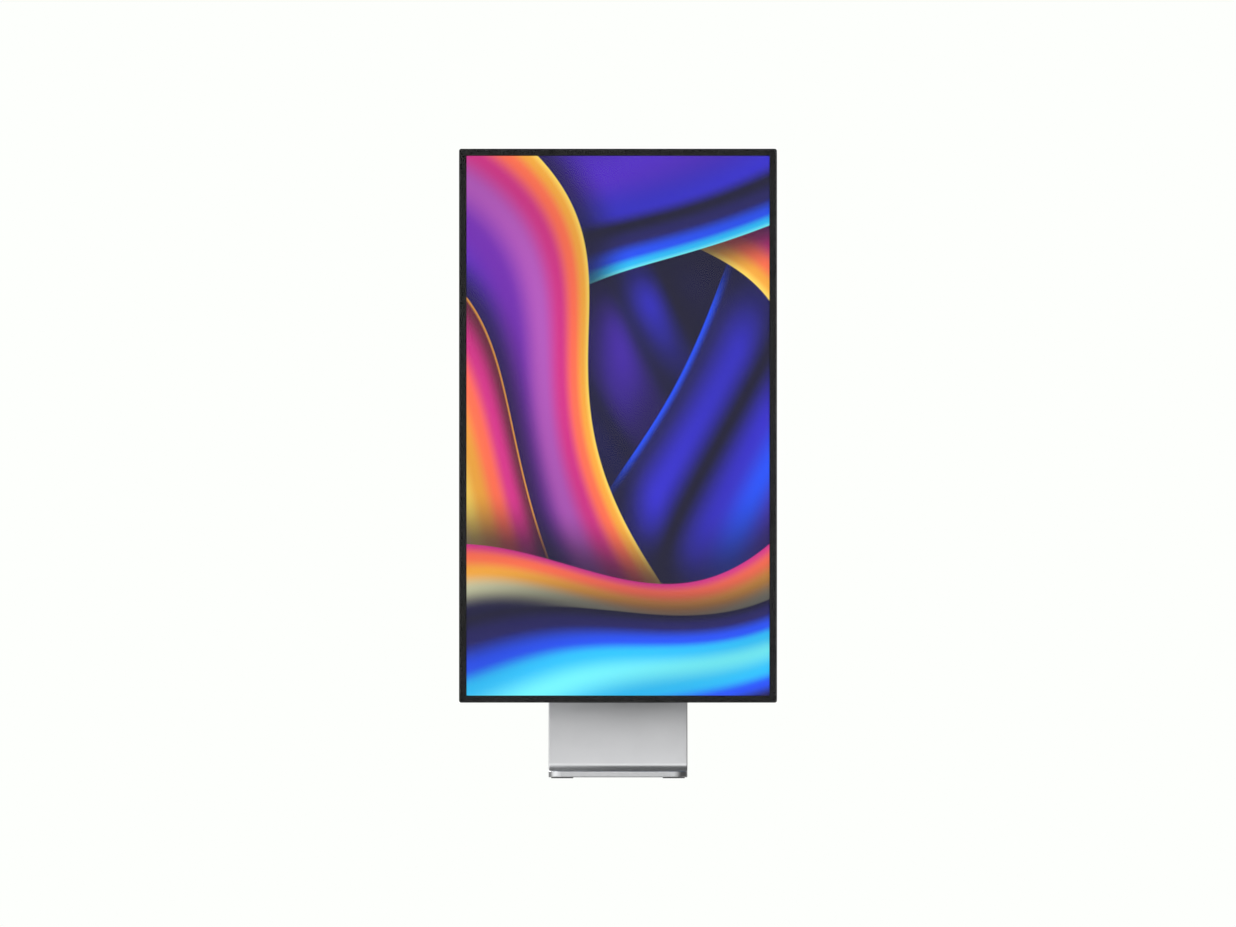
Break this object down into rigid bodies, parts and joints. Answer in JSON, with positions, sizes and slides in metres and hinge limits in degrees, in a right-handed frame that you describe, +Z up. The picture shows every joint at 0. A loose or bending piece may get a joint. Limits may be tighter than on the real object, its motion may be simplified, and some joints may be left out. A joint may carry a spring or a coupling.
{
  "type": "computer monitor",
  "caption": "Large flat desktop display in portrait on an L-shaped aluminium stand, with a lifting arm, tilt and a quarter-turn rotation.",
  "frame": {"origin": "on the desk, under the middle of the stand's base plate; the bottom centre of the whole object", "axes": "+Z up, the screen faces -Y, +X to the right as seen from the front"},
  "size_m": [0.412, 0.236, 0.816],
  "materials": {
    "stand_metal": "fine bead-blasted, satin, clear anodised",
    "column_cover_metal": "fine bead-blasted, satin, clear anodised",
    "arm_metal": "fine bead-blasted, satin, clear anodised",
    "housing_metal": "fine bead-blasted, satin, clear anodised",
    "disc_metal": "turned face, satin anodised",
    "cap_metal": "turned face, satin anodised",
    "steel": "ground",
    "dark_steel": "black oxide",
    "spring_steel": "oiled",
    "foot_rubber": "matte",
    "bearing_plastic": "natural acetal",
    "trim_black": "matte black",
    "border_black": "printed black behind the glass",
    "clear_glass": "polished",
    "screen": "lit picture",
    "film_white": "optical film",
    "diffuser_white": "opal",
    "led_yellow": "phosphor",
    "board_white": "white solder mask",
    "chassis_steel": "zinc plated sheet",
    "frame_plastic": "moulded black",
    "board_green": "solder mask",
    "chip_black": "moulded",
    "sink_metal": "extruded",
    "flex_amber": "polyimide film",
    "inlet_black": "moulded",
    "contact_metal": "nickel plated",
    "fan_black": "moulded"
  },
  "bodies": {
    "stand": {"stand_frame": "stand_metal", "foot_pads": "foot_rubber", "column_rear_cover": "column_cover_metal", "rear_cover_screws": "steel", "lift_axle": "steel", "barrel_end_caps": "cap_metal", "link_anchor": "steel", "counterbalance_springs": "spring_steel"},
    "arm": {"arm_casting": "arm_metal", "arm_lower_cover": "arm_metal", "lift_bushes": "bearing_plastic", "tilt_bushes": "bearing_plastic"},
    "link": {"levelling_link": "dark_steel"},
    "yoke": {"levelling_yoke": "dark_steel", "tilt_axle": "steel", "tilt_friction_washers": "spring_steel"},
    "tilt_head": {"tilt_bracket": "arm_metal", "mount_disc": "disc_metal", "disc_screws": "dark_steel", "rotation_spindle": "steel", "spindle_retainer": "steel", "lock_cover": "disc_metal"},
    "lock": {"lock_bolt": "dark_steel", "lock_thumb_tab": "trim_black"},
    "fan_upper": {"fan_rotor_upper": "fan_black"},
    "fan_lower": {"fan_rotor_lower": "fan_black"},
    "display": {"front_trim_ring": "trim_black", "cover_glass": "clear_glass", "glass_border_mask": "border_black", "lcd_cell": "screen", "optical_films": "film_white", "diffuser_plate": "diffuser_white", "backlight_leds": "led_yellow", "backlight_board": "board_white", "backlight_chassis": "chassis_steel", "panel_frame": "frame_plastic", "rear_housing": "housing_metal", "mount_socket": "steel", "mount_backbone": "chassis_steel", "housing_screws": "dark_steel", "rotation_bushing": "bearing_plastic", "rotation_wave_washer": "spring_steel", "main_board": "board_green", "main_board_chips": "chip_black", "heat_sink": "sink_metal", "power_board": "board_green", "power_board_parts": "chip_black", "timing_board": "board_green", "flex_cables": "flex_amber", "board_standoffs": "steel", "board_screws": "steel", "port_board": "board_green", "data_ports": "contact_metal", "ac_inlet": "inlet_black", "inlet_pins": "contact_metal", "fan_frames": "fan_black"}
  },
  "joints": [
    {"name": "arm_lift", "type": "hinge", "parent": "stand", "child": "arm", "pos_m": [0, 0.101, 0.39543], "axis": [1, 0, 0], "range_deg": [0, 51.6], "deforming": ["counterbalance_springs"]},
    {"name": "link_swing", "type": "hinge", "parent": "stand", "child": "link", "pos_m": [0, 0.101, 0.40443], "axis": [1, 0, 0], "range_deg": [0, 51.6]},
    {"name": "head_level", "type": "hinge", "parent": "arm", "child": "yoke", "pos_m": [0, 0.0222, 0.457], "axis": [1, 0, 0], "range_deg": [-51.6, 0]},
    {"name": "tilt", "type": "hinge", "parent": "yoke", "child": "tilt_head", "pos_m": [0, 0.0222, 0.457], "axis": [-1, 0, 0], "range_deg": [-5, 25]},
    {"name": "rotate", "type": "hinge", "parent": "tilt_head", "child": "display", "pos_m": [0, -0.0033, 0.457], "axis": [0, 1, 0], "range_deg": [0, 90]},
    {"name": "lock_slide", "type": "slide", "parent": "tilt_head", "child": "lock", "axis": [0, 0, 1], "range_m": [0, 0.0045]},
    {"name": "fan_upper_spin", "type": "hinge", "parent": "display", "child": "fan_upper", "pos_m": [-0.135, -0.0083, 0.532], "axis": [0, 1, 0], "continuous": true},
    {"name": "fan_lower_spin", "type": "hinge", "parent": "display", "child": "fan_lower", "pos_m": [-0.135, -0.0083, 0.382], "axis": [0, 1, 0], "continuous": true}
  ],
  "couplings": [
    {"joint": "link_swing", "follows": "arm_lift", "ratio": 1},
    {"joint": "head_level", "follows": "arm_lift", "ratio": -1}
  ]
}
